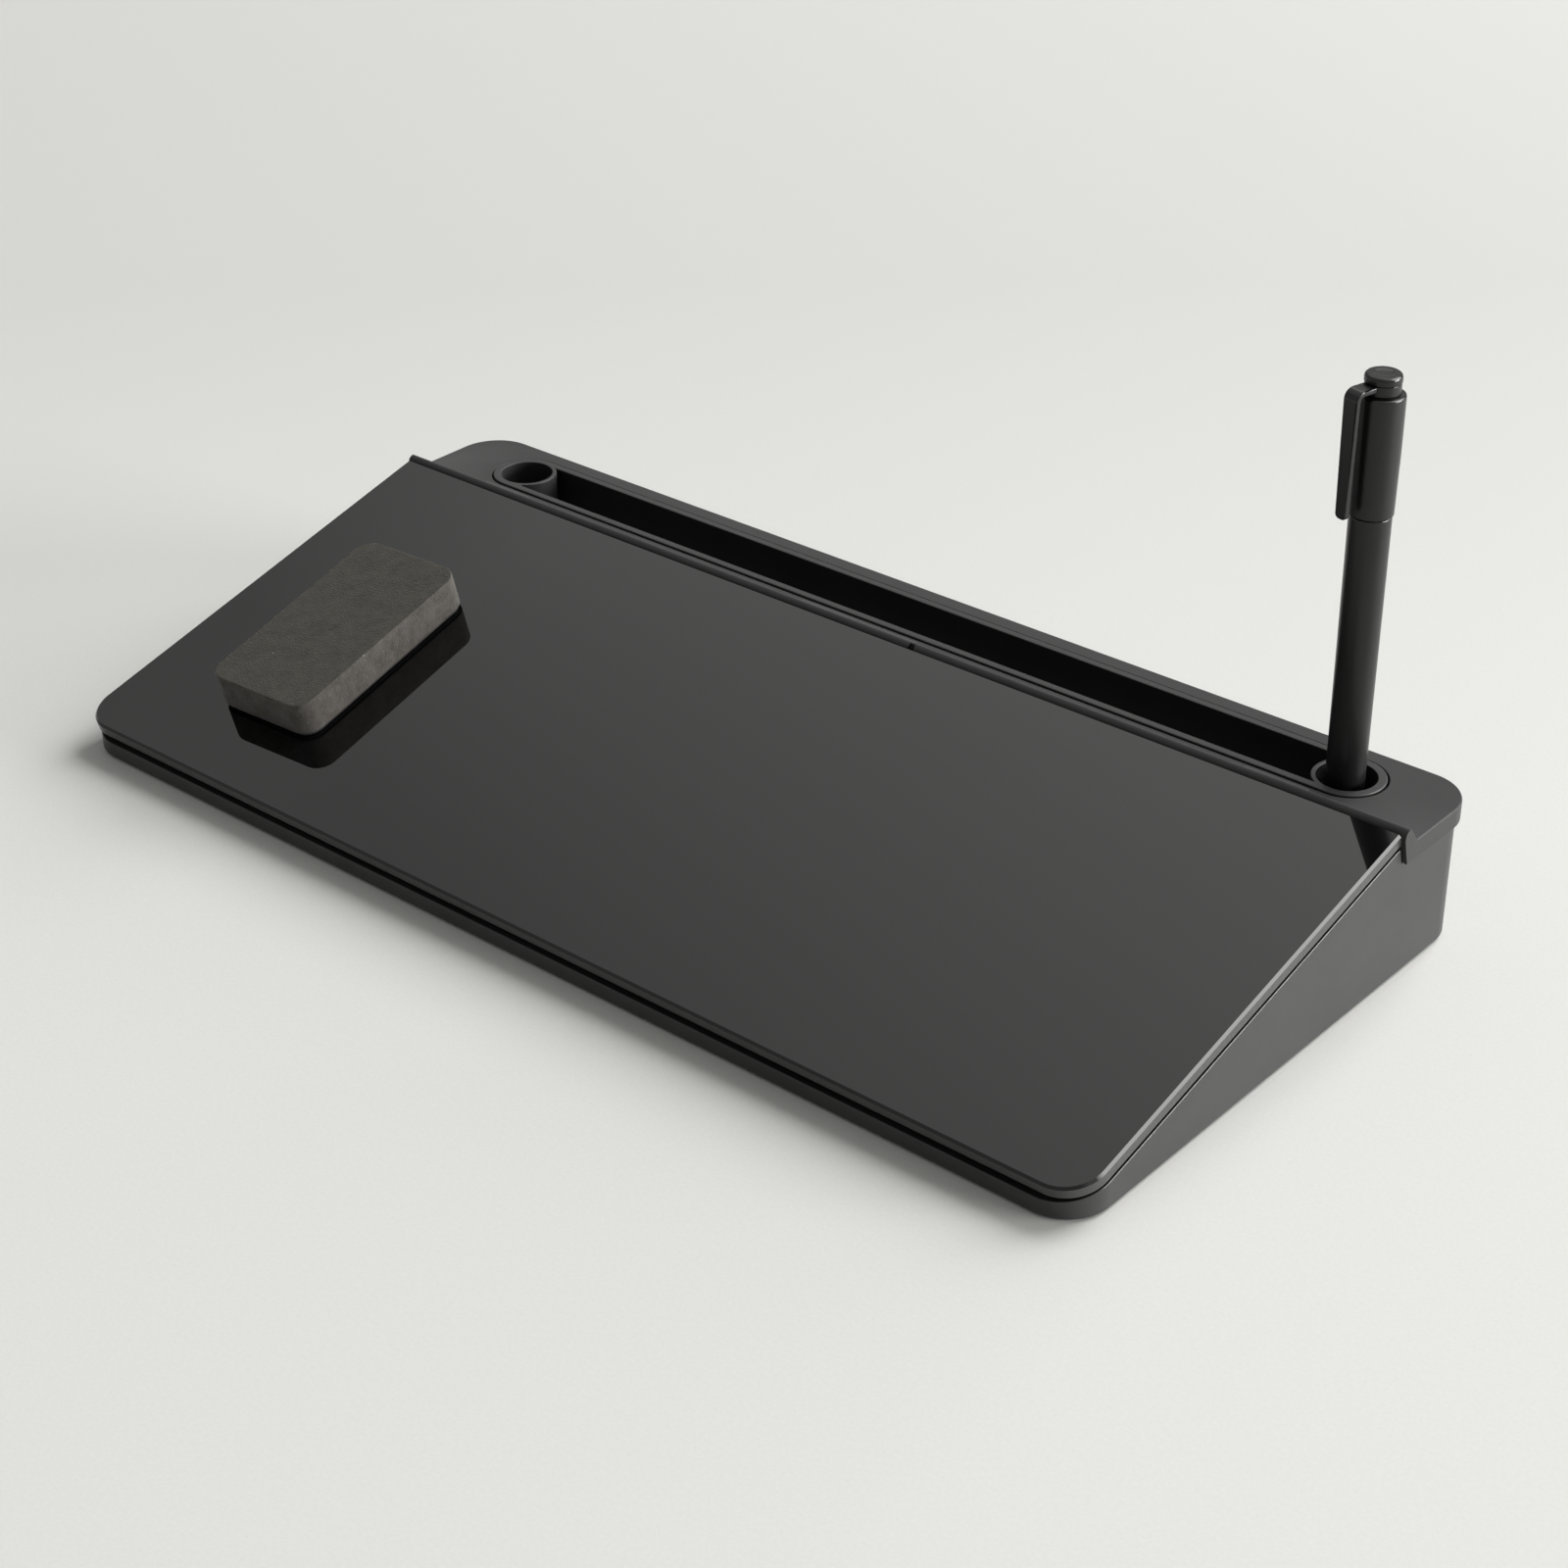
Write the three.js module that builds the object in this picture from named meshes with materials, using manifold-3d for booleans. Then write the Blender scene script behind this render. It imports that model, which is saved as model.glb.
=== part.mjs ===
// Desktop glass whiteboard: a wedge-shaped base with a hinged glass lid, a rear cover holding an
// organiser insert, a capped marker pen standing in the insert and a foam eraser on the glass.
// Millimetres, +Z up, +X along the board, the user at -Y. The origin is the middle of the
// footprint, on the desk.

import * as THREE from 'three';
import { mergeVertices } from 'three/addons/utils/BufferGeometryUtils.js';
import Module from 'manifold-3d';

const wasm = await Module();
wasm.setup();

// Driving dimensions: glass board
const boardWidth = 381.6;
const boardLength = 147.4;
const boardThickness = 3.8;
const boardCorner = 11.5;
const boardChamfer = 0.7;
const slope = THREE.MathUtils.degToRad(14.5);
const frontHeight = 10.6;

// Driving dimensions: base shell
const baseLift = 0.3;
const baseSideInset = 0.5;
const wall = 2.5;
const floorThickness = 3.2;
const innerCorner = 2;
const baseFrontReach = 0.3;
const baseFrontCorner = 13.5;
const bottomFillet = 1.2;
const shadowGap = 1.1;
const bulkheadThickness = 2.2;
const bulkheadSetback = 3.9;
const cradleThickness = 2;
const cradleSpacing = 110;

// Driving dimensions: rear cover with its raised bead
const rearDepth = 41.44;
const coverDrop = 4;
const coverThickness = 2.5;
const coverSide = 1.3;
const coverBack = 1.5;
const coverCorner = 14;
const coverEdge = 0.5;
const skirtDepth = 5.8;
const skirtThickness = 1;
const slitFront = -0.2;
const slitWidth = 0.5;
const slitDepth = 10;
const beadTop = 3.3;
const beadRise = 0.4;
const beadNose = 2.3;
const beadEase = 0.5;
const beadFoot = 3.6;
const beadWall = 2;

// Driving dimensions: lid hinge and lid carrier
const hingeBack = 3.6;
const hingeDrop = 2.3;
const knuckleRadius = 1.8;
const pinRadius = 0.9;
const pinGrip = 8;
const centreKnuckle = 45;
const endKnuckle = 20;
const endKnuckleInset = 42;
const pinNotch = 1.6;
const notchDepth = 1.9;
const lipThickness = 0.6;
const armRelief = 0.5;
const tapeThickness = 0.5;
const tapeWidth = 12;
const tapeInset = 6;
const carrierThickness = 2;
const carrierSideGap = 1;
const carrierFrontInset = 4.2;
const carrierRearInset = 2;
const carrierRib = 2.5;
const carrierRibWidth = 2;
const carrierRibSpacing = 95;
const carrierRibLength = 80;
const carrierRibSetback = 10;
const bumperRadius = 4;
const bumperInset = 18;

// Driving dimensions: organiser insert
const cupRadius = 8.6;
const cupInset = 31.5;
const cupBack = 17.2;
const cupWall = 1.4;
const insertRim = 2.6;
const insertSeam = 0.5;
const insertRise = 0.4;
const insertDepth = 24.5;
const insertFloor = 1.9;

// Driving dimensions: feet and screws
const footRadius = 7;
const footThickness = 1.9;
const footInset = 22;
const screwHeadRadius = 2.7;
const screwHeadHeight = 2.2;
const screwRadius = 1.2;
const screwLength = 23;
const screwRecess = 8.7;
const postRadius = 4.2;
const postHeight = 12.5;
const bossRadius = 3.4;
const cornerPostX = 10;
const frontPostY = 7.2;
const rearPostY = 12.3;
const middlePostX = 60;

// Driving dimensions: marker pen, from its tail up
const penCapStart = 102.3;
const penShoulder = 136.3;
const penTotal = 141.9;
const penOffCentre = 0.55;
const penBarrelRadius = 5.8;
const penTailRadius = 5.5;
const penWall = 1.1;
const penCapRadius = 6.4;
const penCapMouth = 6.15;
const penCapWall = 1;
const penCapRound = 0.6;
const penCapCrown = 1.5;
const penNeckRadius = 3.9;
const penButtonRadius = 5.05;
const penButtonHeight = 2;
const clipWidth = 4.3;
const clipThickness = 2.1;
const clipReach = 11.4;
const clipCollarRadius = 4.9;
const clipBend = 3;
const clipHeel = 1.3;
const clipTip = 0.9;
const clipTipEase = 1.3;
const clipTurn = THREE.MathUtils.degToRad(15);
const plugFlange = 2;
const plugLength = 9;
const neckRise = 6;
const neckDepth = 4;
const holderDepth = 3;
const holderLength = 12;
const holderTip = 1.2;
const nibRadius = 1.6;
const nibSocket = 6;
const nibReach = 7;

// Driving dimensions: eraser
const eraserWidth = 40.5;
const eraserLength = 73.2;
const eraserCorner = 6;
const foamThickness = 11.3;
const feltThickness = 0.8;
const feltInset = 0.8;
const eraserFromLeft = 55.85;
const eraserFromRear = 84.6;
const eraserTurn = THREE.MathUtils.degToRad(2.4);

// Clearances
const seat = 0.3;
const running = 0.3;
const lidClearance = 0.6;
const overlap = 0.5;

// Places worked out from the sizes above
const boardDepth = boardLength * Math.cos(slope);
const boardRise = boardLength * Math.sin(slope);
// How far the base, or else the glass below its chamfer, stands ahead of the top edge of the glass
const frontLead = Math.max(baseFrontReach, -boardChamfer * Math.sin(slope));
const frontY = (frontLead - boardDepth - rearDepth) / 2;
const rearY = frontY + boardDepth + rearDepth;
const boardRearY = frontY + boardDepth;
const boardRearZ = frontHeight + boardRise;
const baseHalf = boardWidth / 2 - baseSideInset;
const baseFront = frontY - baseFrontReach;
const baseRear = rearY - coverBack;
const baseRearCorner = coverCorner - coverBack;
const floorTop = baseLift + floorThickness;
const coverHalf = baseHalf + coverSide;
const coverHeight = boardRearZ - coverDrop;
const coverUnder = coverHeight - coverThickness;
const cupY = rearY - cupBack;
const cupSpacing = boardWidth - 2 * cupInset;
const insertRadius = cupRadius + insertRim;
const insertTop = coverHeight + insertRise;
const insertBottom = insertTop - insertDepth;
const insertFloorTop = insertBottom + insertFloor;
const carrierTop = -(boardThickness + tapeThickness + 2 * seat);
const carrierBottom = carrierTop - carrierThickness;
const rimTop = -(boardThickness + shadowGap);
const carrierHalf = baseHalf - wall - carrierSideGap;
const bulkheadRear = boardRearY - bulkheadSetback + bulkheadThickness;
const bulkheadFront = boardRearY - bulkheadSetback;
const coverFront = slitFront + slitWidth;
const tall = 2 * (coverHeight + boardRise);
const penNeck = penBarrelRadius - 2 * penWall;
const penInner = penTailRadius - penWall;
const holderStart = penCapStart + neckRise;
const holderTop = holderStart + holderLength;
const nibTop = holderTop + nibReach;
const collarTop = penTotal - penButtonHeight - seat;

// The frame of the glass: its origin is the middle of the rear top edge, y runs up the slope and
// z stands square to the glass.
const board = new THREE.Group();
board.position.set(0, boardRearY, boardRearZ);
board.rotation.x = slope;
board.updateMatrix();

const hinge = new THREE.Vector3(0, hingeBack, -hingeDrop).applyMatrix4(board.matrix);

const knuckles = [
  { x: 0, length: centreKnuckle },
  { x: endKnuckleInset - baseHalf, length: endKnuckle },
  { x: baseHalf - endKnuckleInset, length: endKnuckle },
];

const posts = [
  { x: -(baseHalf - cornerPostX), y: bulkheadRear + frontPostY + bossRadius },
  { x: baseHalf - cornerPostX, y: bulkheadRear + frontPostY + bossRadius },
  { x: -(baseHalf - cornerPostX), y: rearY - rearPostY },
  { x: baseHalf - cornerPostX, y: rearY - rearPostY },
  { x: -middlePostX, y: bulkheadRear + frontPostY + bossRadius / 2 },
  { x: middlePostX, y: bulkheadRear + frontPostY + bossRadius / 2 },
];

const feet = [];
for (const x of [-(baseHalf - footInset), baseHalf - footInset]) {
  for (const y of [baseFront + footInset, baseRear - footInset]) feet.push({ x, y });
}

// Materials
const material = (color, roughness, metalness = 0) =>
  new THREE.MeshStandardMaterial({ color, roughness, metalness });
const blackShell = material(0x2a2a2b, 0.55);
const blackInsert = material(0x232324, 0.5);
const blackGlass = material(0x0b0b0c, 0.04);
const innerPlastic = material(0x3a3a3b, 0.6);
const tapeFoam = material(0x1b1b1b, 0.9);
const steel = material(0xb4b6b8, 0.3, 1);
const rubber = material(0x161616, 0.85);
const penPlastic = material(0x151515, 0.3);
const penFelt = material(0x30343a, 0.95);
const foam = material(0x46443f, 0.95);
const felt = material(0x1d1c1a, 1);

// Turns a closed three.js geometry into a solid for joining and cutting
function solid(geometry) {
  const plain = geometry.clone();
  plain.deleteAttribute('normal');
  plain.deleteAttribute('uv');
  const merged = mergeVertices(plain, 1e-4);
  return new wasm.Manifold(new wasm.Mesh({
    numProp: 3,
    vertProperties: new Float32Array(merged.attributes.position.array),
    triVerts: new Uint32Array(merged.index.array),
  }));
}

// Turns a solid back into a three.js geometry
function surface(body) {
  const { vertProperties, triVerts } = body.getMesh();
  const geometry = new THREE.BufferGeometry();
  geometry.setAttribute('position', new THREE.BufferAttribute(vertProperties, 3));
  geometry.setIndex(new THREE.BufferAttribute(triVerts, 1));
  geometry.computeVertexNormals();
  return geometry;
}

// A closed outline with round corners: radii start at the front left and go anticlockwise
function roundedOutline(left, front, right, rear, [fl, fr, rr, rl]) {
  const outline = new THREE.Shape();
  outline.moveTo(left + fl, front);
  outline.lineTo(right - fr, front);
  if (fr) outline.absarc(right - fr, front + fr, fr, -Math.PI / 2, 0);
  outline.lineTo(right, rear - rr);
  if (rr) outline.absarc(right - rr, rear - rr, rr, 0, Math.PI / 2);
  outline.lineTo(left + rl, rear);
  if (rl) outline.absarc(left + rl, rear - rl, rl, Math.PI / 2, Math.PI);
  outline.lineTo(left, front + fl);
  if (fl) outline.absarc(left + fl, front + fl, fl, Math.PI, 1.5 * Math.PI);
  return outline;
}

// The slot-shaped outline of the organiser insert
function stadium(radius) {
  const outline = new THREE.Shape();
  outline.absarc(cupSpacing / 2, cupY, radius, -Math.PI / 2, Math.PI / 2);
  outline.absarc(-cupSpacing / 2, cupY, radius, Math.PI / 2, 1.5 * Math.PI);
  return outline;
}

// A flat outline raised from one height to another
function raise(outline, bottom, top, curveSegments = 8) {
  const settings = { depth: top - bottom, bevelEnabled: false, curveSegments };
  return new THREE.ExtrudeGeometry(outline, settings).translate(0, 0, bottom);
}

// A raised outline whose top and bottom edges are rounded or chamfered
function raiseEased(outline, bottom, top, ease, bevelSegments = 1, curveSegments = 8) {
  const geometry = new THREE.ExtrudeGeometry(outline, {
    depth: top - bottom - 2 * ease,
    bevelEnabled: true,
    bevelThickness: ease,
    bevelSize: ease,
    bevelOffset: -ease,
    bevelSegments,
    curveSegments,
  });
  return geometry.translate(0, 0, bottom + ease);
}

// A side profile, drawn as y and z, drawn out along X
const sideways = new THREE.Matrix4().makeBasis(
  new THREE.Vector3(0, 1, 0),
  new THREE.Vector3(0, 0, 1),
  new THREE.Vector3(1, 0, 0),
);

function drawOut(points, fromX, toX) {
  const outline = new THREE.Shape(points.map(([y, z]) => new THREE.Vector2(y, z)));
  const geometry = new THREE.ExtrudeGeometry(outline, { depth: toX - fromX, bevelEnabled: false });
  return geometry.applyMatrix4(sideways).translate(fromX, 0, 0);
}

function block([x0, y0, z0], [x1, y1, z1]) {
  const geometry = new THREE.BoxGeometry(x1 - x0, y1 - y0, z1 - z0);
  return geometry.translate((x0 + x1) / 2, (y0 + y1) / 2, (z0 + z1) / 2);
}

// A profile of radius and height turned about Z
function turn(points, segments = 32) {
  const profile = points.map(([radius, height]) => new THREE.Vector2(radius, height));
  return new THREE.LatheGeometry(profile, segments).rotateX(Math.PI / 2);
}

function rod(radius, bottom, top, segments = 24) {
  return turn([[0, bottom], [radius, bottom], [radius, top], [0, top]], segments);
}

// A turned profile laid along X at a given line
function alongX(geometry, y, z) {
  return geometry.clone().rotateY(Math.PI / 2).translate(0, y, z);
}

function mesh(name, geometry, look) {
  const part = new THREE.Mesh(geometry, look);
  part.name = name;
  return part;
}

const onBoard = (geometry) => geometry.clone().applyMatrix4(board.matrix);
const joined = (bodies) => bodies.reduce((all, body) => all.add(body));

// Base shell: one moulded wedge with a storage compartment in front, a bulkhead, and a bay behind
// it with cradle ribs for the organiser insert and posts for the cover screws
function makeBase() {
  const corners = [baseFrontCorner, baseFrontCorner, baseRearCorner, baseRearCorner];
  const outline = roundedOutline(-baseHalf, baseFront, baseHalf, baseRear, corners);
  let shell = solid(raiseEased(outline, baseLift, baseLift + tall, bottomFillet, 3));

  const inner = baseHalf - wall;
  const storeFront = baseFrontCorner - wall;
  const bayRear = baseRearCorner - wall;
  const storeCorners = [storeFront, storeFront, innerCorner, innerCorner];
  const bayCorners = [innerCorner, innerCorner, bayRear, bayRear];
  const store = roundedOutline(-inner, baseFront + wall, inner, bulkheadFront, storeCorners);
  const bay = roundedOutline(-inner, bulkheadRear, inner, baseRear - wall, bayCorners);
  shell = shell.subtract(solid(raise(store, floorTop, 2 * tall)));
  let bayCut = solid(raise(bay, floorTop, 2 * tall));
  for (const x of [-cradleSpacing, 0, cradleSpacing]) {
    const rib = block(
      [x - cradleThickness / 2, bulkheadRear - 1, 0],
      [x + cradleThickness / 2, baseRear, insertBottom - seat],
    );
    bayCut = bayCut.subtract(solid(rib));
  }
  for (const { x, y } of posts) {
    bayCut = bayCut.subtract(solid(rod(postRadius, 0, floorTop + postHeight).translate(x, y, 0)));
  }
  shell = shell.subtract(bayCut);

  // Rim under the glass, pocket for the lid carrier, slit and rebate under the rear cover
  const reach = 2 * boardLength;
  const rim = onBoard(block([-reach, -reach, rimTop], [reach, coverFront + seat, 2 * tall]));
  const pocketBottom = carrierBottom - lidClearance;
  const pocket = onBoard(block([-inner, -reach, pocketBottom], [inner, slitFront, 2 * tall]));
  const slit = onBoard(block([-reach, slitFront, -slitDepth], [reach, coverFront + seat, tall]));
  const ahead = onBoard(block([-reach, -reach, -reach], [reach, coverFront, reach]));
  const above = block([-reach, -reach, coverUnder - seat], [reach, reach, 2 * tall]);
  const store3d = solid(raise(store, 0, 2 * tall)).add(solid(raise(bay, 0, 2 * tall)));
  const bulkheadZone = solid(block([-inner, bulkheadFront - 1, 0], [inner, bulkheadRear + 1, 2 * tall]));
  shell = shell.subtract(solid(rim)).subtract(solid(slit));
  shell = shell.subtract(solid(pocket).intersect(store3d.add(bulkheadZone)));
  shell = shell.subtract(solid(above).subtract(solid(ahead)));

  // Seats for the feet and bores for the cover screws, from below
  for (const { x, y } of feet) {
    const recess = rod(footRadius + seat, 0, footThickness + seat, 32);
    shell = shell.subtract(solid(recess.translate(x, y, 0)));
  }
  for (const { x, y } of posts) {
    const bore = turn([
      [0, 0],
      [screwHeadRadius + 2 * seat, 0],
      [screwHeadRadius + 2 * seat, baseLift + screwRecess],
      [screwRadius + 2 * seat, baseLift + screwRecess],
      [screwRadius + 2 * seat, tall],
      [0, tall],
    ], 20);
    shell = shell.subtract(solid(bore.translate(x, y, 0)));
  }
  return surface(shell);
}

// The bead runs across the cover behind the glass. Its nose is rounded about the hinge, so that the
// rear edge of the glass passes it, and a wall hangs below it, between the base's sides
const boardPoint = (y, z) => {
  const point = new THREE.Vector3(0, y, z).applyMatrix4(board.matrix);
  return [point.y, point.z];
};
const beadFrontAt = (z) => {
  const [noseY, noseZ] = boardPoint(coverFront, 0);
  return noseY + (noseZ - z) * Math.tan(slope);
};

function makeBead() {
  const bottom = coverHeight - skirtDepth;
  const nose = [0, 15, 30, 45, 60, 75, 90].map((degrees) => {
    const angle = THREE.MathUtils.degToRad(degrees);
    const y = coverFront + beadNose * (1 - Math.cos(angle));
    return boardPoint(y, -hingeDrop + (hingeDrop + beadRise) * Math.sin(angle));
  });
  const crest = boardPoint(coverFront + beadTop, beadRise - beadEase);
  const ridge = [
    [beadFrontAt(coverUnder), coverUnder],
    [crest[0] + beadFoot, coverUnder],
    [crest[0] + beadFoot, coverHeight],
    crest,
    boardPoint(coverFront + beadTop - beadEase, beadRise),
    ...nose.reverse(),
  ];
  const hanging = [
    [beadFrontAt(coverHeight), coverHeight],
    [beadFrontAt(bottom), bottom],
    [beadFrontAt(bottom) + beadWall, bottom],
    [beadFrontAt(bottom) + beadWall, coverHeight],
  ];
  const inside = baseHalf - wall - 2 * seat;
  return joined([
    solid(drawOut(ridge, -coverHalf, coverHalf)),
    solid(drawOut(hanging, -inside, inside)),
  ]);
}

// Window in the bead for one hinge knuckle: round the barrel, under the bead's lip and along the arm
function knuckleWindow({ x, length }) {
  const [from, to] = [x - length / 2 - running, x + length / 2 + running];
  const front = -2 * carrierRearInset;
  const low = carrierBottom - running;
  const barrel = rod(knuckleRadius + running, from, to, 32);
  const bore = rod(pinRadius + running, from - pinGrip, to + pinGrip, 16);
  const lipFront = hingeBack - knuckleRadius + running;
  const cuts = [
    alongX(barrel, hingeBack, -hingeDrop),
    alongX(bore, hingeBack, -hingeDrop),
    block([from, front, -hingeDrop - overlap], [to, lipFront, -lipThickness]),
    block([from, front, low], [to, hingeBack + running, -hingeDrop]),
  ];
  return joined(cuts.map((cut) => solid(onBoard(cut))));
}

// Rear cover: flat top with a skirt, the bead with its hinge windows, the insert opening and the
// hanging screw bosses
function makeCover() {
  const outline = roundedOutline(-coverHalf, 0, coverHalf, rearY, [0, 0, coverCorner, coverCorner]);
  const inside = coverHalf - skirtThickness;
  const hollowCorners = [0, 0, coverCorner - skirtThickness, coverCorner - skirtThickness];
  const hollow = roundedOutline(-inside, -1, inside, rearY - skirtThickness, hollowCorners);
  const bottom = coverHeight - skirtDepth;
  const ahead = onBoard(block(
    [-2 * coverHalf, -2 * boardLength, -2 * tall],
    [2 * coverHalf, coverFront, 2 * tall],
  ));
  let cover = solid(raiseEased(outline, bottom - 2 * coverEdge, coverHeight, coverEdge, 2));
  cover = cover.subtract(solid(block([-2 * coverHalf, -tall, 0], [2 * coverHalf, 2 * tall, bottom])));
  cover = cover.subtract(solid(raise(hollow, 0, coverUnder)));
  cover = cover.subtract(solid(ahead));
  cover = cover.add(makeBead());
  cover = cover.subtract(solid(raise(stadium(insertRadius + insertSeam), 0, tall, 20)));

  const bossBottom = floorTop + postHeight + seat;
  for (const { x, y } of posts) {
    cover = cover.add(solid(rod(bossRadius, bossBottom, coverUnder + 1).translate(x, y, 0)));
  }
  for (const { x, y } of posts) {
    const bore = rod(screwRadius + seat, 0, baseLift + screwRecess + screwLength + 2, 16);
    cover = cover.subtract(solid(bore.translate(x, y, 0)));
  }

  for (const knuckle of knuckles) cover = cover.subtract(knuckleWindow(knuckle));
  const notchAt = centreKnuckle / 2 + running;
  const notch = block(
    [notchAt - overlap, -1, beadRise - notchDepth],
    [notchAt + pinNotch, coverFront + beadNose, tall],
  );
  cover = cover.subtract(solid(onBoard(notch)));
  return surface(cover);
}

// Glass: polished chamfers along the front and sides, a square rear edge and round front corners
function makeGlass() {
  const corners = [boardCorner, boardCorner, 0, 0];
  const half = boardWidth / 2;
  const outline = roundedOutline(-half, -boardLength, half, 2 * boardChamfer, corners);
  const sheet = solid(raiseEased(outline, -boardThickness, 0, boardChamfer, 1, 10));
  const behind = block([-boardWidth, 0, -boardLength], [boardWidth, boardLength, boardLength]);
  return surface(sheet.subtract(solid(behind)));
}

// Foam tape that holds the glass to the carrier, one flat ring
function makeTape() {
  const half = boardWidth / 2 - tapeInset;
  const inner = half - tapeWidth;
  const front = -boardLength + tapeInset;
  const ring = roundedOutline(-half, front, half, -tapeInset, [4, 4, 1, 1]);
  ring.holes.push(roundedOutline(-inner, front + tapeWidth, inner, -tapeInset - tapeWidth, [2, 2, 1, 1]));
  const bottom = -(boardThickness + seat + tapeThickness);
  return raise(ring, bottom, bottom + tapeThickness, 6);
}

// Carrier: the plate under the glass, its ribs and the arms that end in the hinge knuckles
function makeCarrier() {
  const front = -boardLength + carrierFrontInset;
  const corners = [baseFrontCorner - wall, baseFrontCorner - wall, 1, 1];
  const outline = roundedOutline(-carrierHalf, front, carrierHalf, -carrierRearInset, corners);
  const ribFront = -(carrierRibSetback + carrierRibLength);
  let carrier = solid(raise(outline, carrierBottom, carrierTop));
  for (const x of [-carrierRibSpacing, 0, carrierRibSpacing]) {
    const rib = [
      [ribFront, carrierBottom + overlap],
      [ribFront + 2 * carrierRib, carrierBottom - carrierRib],
      [-carrierRibSetback, carrierBottom - carrierRib],
      [-carrierRibSetback, carrierBottom + overlap],
    ];
    carrier = carrier.add(solid(drawOut(rib, x - carrierRibWidth / 2, x + carrierRibWidth / 2)));
  }
  for (const { x, length } of knuckles) {
    const [from, to] = [x - length / 2, x + length / 2];
    const arm = drawOut([
      [-3 * carrierRearInset, carrierTop],
      [-3 * carrierRearInset, carrierBottom],
      [hingeBack - knuckleRadius, carrierBottom],
      [hingeBack, -hingeDrop - knuckleRadius],
      [hingeBack, -hingeDrop],
      [hingeBack - 0.87 * knuckleRadius, -hingeDrop - knuckleRadius / 2],
      [seat, carrierTop - armRelief],
      [-carrierRearInset, carrierTop],
    ], from, to);
    const barrel = alongX(rod(knuckleRadius, from, to, 32), hingeBack, -hingeDrop);
    carrier = carrier.add(solid(arm)).add(solid(barrel));
    const bore = alongX(rod(pinRadius + running, from - 1, to + 1, 16), hingeBack, -hingeDrop);
    carrier = carrier.subtract(solid(bore));
  }
  return surface(carrier);
}

// Organiser insert: a round cup at each end and a long trough between them
function makeInsert() {
  let insert = solid(raiseEased(stadium(insertRadius), insertBottom, insertTop, insertRise, 2, 20));
  const half = cupSpacing / 2;
  let trough = solid(block([-half, cupY - cupRadius, insertFloorTop], [half, cupY + cupRadius, tall]));
  for (const x of [-half, half]) {
    trough = trough.subtract(solid(rod(cupRadius + cupWall, 0, 2 * tall, 40).translate(x, cupY, 0)));
  }
  insert = insert.subtract(trough);
  for (const x of [-half, half]) {
    insert = insert.subtract(solid(rod(cupRadius, insertFloorTop, 2 * tall, 40).translate(x, cupY, 0)));
  }
  return surface(insert);
}

function makeScrew() {
  const head = baseLift + screwRecess - seat;
  return turn([
    [0, head - screwHeadHeight],
    [screwHeadRadius * 0.8, head - screwHeadHeight],
    [screwHeadRadius, head - 0.6 * screwHeadHeight],
    [screwHeadRadius, head],
    [screwRadius, head],
    [screwRadius, head + screwLength - screwRadius],
    [0, head + screwLength],
  ], 16);
}

// Marker pen: barrel with its end plug, ink reservoir, nib holder and nib
function makeBarrel() {
  return turn([
    [penInner, plugFlange],
    [penTailRadius, plugFlange],
    [penTailRadius, plugFlange + 1],
    [penBarrelRadius, penCapStart - seat],
    [penNeck + penWall, penCapStart - seat],
    [penNeck + penWall, holderStart],
    [penNeck, holderStart],
    [penNeck, penCapStart],
    [penInner, penCapStart - neckDepth],
    [penInner, plugFlange],
  ], 32);
}

function makePlug() {
  return turn([
    [0, 0],
    [penTailRadius - 1, 0],
    [penTailRadius, 0.8],
    [penTailRadius, plugFlange - seat],
    [penInner - seat, plugFlange - seat],
    [penInner - seat, plugLength],
    [0, plugLength],
  ], 32);
}

function makeReservoir() {
  return rod(penNeck - 2 * seat, plugLength + seat, holderStart - holderDepth, 20);
}

function makeHolder() {
  return turn([
    [0, holderStart - holderDepth + seat],
    [penNeck - seat, holderStart - holderDepth + seat],
    [penNeck - seat, holderStart + seat],
    [penNeck + penWall, holderStart + seat],
    [nibRadius + holderTip, holderTop],
    [nibRadius + seat, holderTop],
    [nibRadius + seat, holderTop - nibSocket],
    [0, holderTop - nibSocket],
  ], 24);
}

function makeNib() {
  return turn([
    [0, holderTop - nibSocket + seat],
    [nibRadius, holderTop - nibSocket + seat],
    [nibRadius, nibTop - 2],
    [nibRadius * 0.5, nibTop],
    [0, nibTop],
  ], 16);
}

// Cap with its neck for the clip collar, the clip and the round button on top
function makeCap() {
  const middle = (penCapStart + penShoulder) / 2;
  const bore = penCapMouth - penCapWall;
  return turn([
    [bore, penCapStart],
    [penCapMouth, penCapStart],
    [penCapRadius, middle],
    [penCapRadius, penShoulder - penCapRound],
    [penCapRadius - 0.3 * penCapRound, penShoulder - 0.3 * penCapRound],
    [penCapRadius - penCapRound, penShoulder],
    [penNeckRadius, penShoulder],
    [penNeckRadius, collarTop],
    [0, collarTop],
    [0, penShoulder - penCapCrown],
    [bore - penCapWall, penShoulder - penCapCrown],
    [bore, penShoulder - 2 * penCapCrown],
    [bore, penCapStart],
  ], 36);
}

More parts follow.
